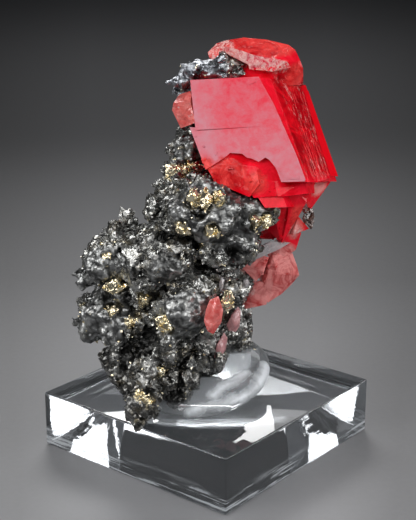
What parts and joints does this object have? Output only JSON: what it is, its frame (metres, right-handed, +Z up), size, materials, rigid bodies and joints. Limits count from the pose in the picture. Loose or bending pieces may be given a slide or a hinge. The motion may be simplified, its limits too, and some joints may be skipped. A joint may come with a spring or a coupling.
{
  "type": "rhodochrosite crystal specimen on a display block",
  "caption": "Red rhombohedral crystals on a dark, lumpy sulphide matrix with brassy crystals, set in a clear cushion on a clear square display block.",
  "frame": {"origin": "middle of the display block's flat underside", "axes": "+Z up, X and Y along the block's sides; the specimen's display side faces between +X and -Y"},
  "size_m": [0.0508, 0.0538, 0.0876],
  "materials": {
    "acrylic": "clear polished acrylic",
    "cushion": "clear smooth mounting gel",
    "sulphide": "dark grey metallic sulphide crystals, glossy on their facets",
    "rhodochrosite": "clear saturated red crystal, polished natural faces",
    "rhodochrosite_coral": "coral red crystal, slightly rough",
    "rhodochrosite_pale": "pale pink cloudy crystal",
    "pyrite": "pale brassy metallic crystal faces",
    "quartz": "cloudy white to clear",
    "sphalerite": "dark resinous crystal"
  },
  "bodies": {
    "root": {"acrylic_block": "acrylic", "rhodochrosite_cluster": "rhodochrosite", "rhodochrosite_left": "rhodochrosite_coral", "rhodochrosite_small": "rhodochrosite_coral", "rhodochrosite_pale_upper": "rhodochrosite_pale", "rhodochrosite_pale_lower": "rhodochrosite_pale", "quartz_blade": "quartz", "quartz_grain_upper": "quartz", "quartz_grain_right": "quartz", "quartz_grain_lower": "quartz", "sphalerite_grain": "sphalerite", "pyrite_band_left": "pyrite", "pyrite_band_right": "pyrite", "pyrite_stripe_left": "pyrite", "pyrite_stripe_middle": "pyrite", "pyrite_stripe_right": "pyrite", "pyrite_middle": "pyrite", "pyrite_middle_right": "pyrite", "pyrite_nose": "pyrite", "pyrite_nose_left": "pyrite", "pyrite_knob": "pyrite", "pyrite_bulge": "pyrite", "pyrite_bridge": "pyrite", "pyrite_centre": "pyrite", "pyrite_by_small_crystal": "pyrite", "pyrite_lower": "pyrite", "pyrite_tip": "pyrite", "matrix": "sulphide", "clear_cushion": "cushion"}
  },
  "joints": []
}
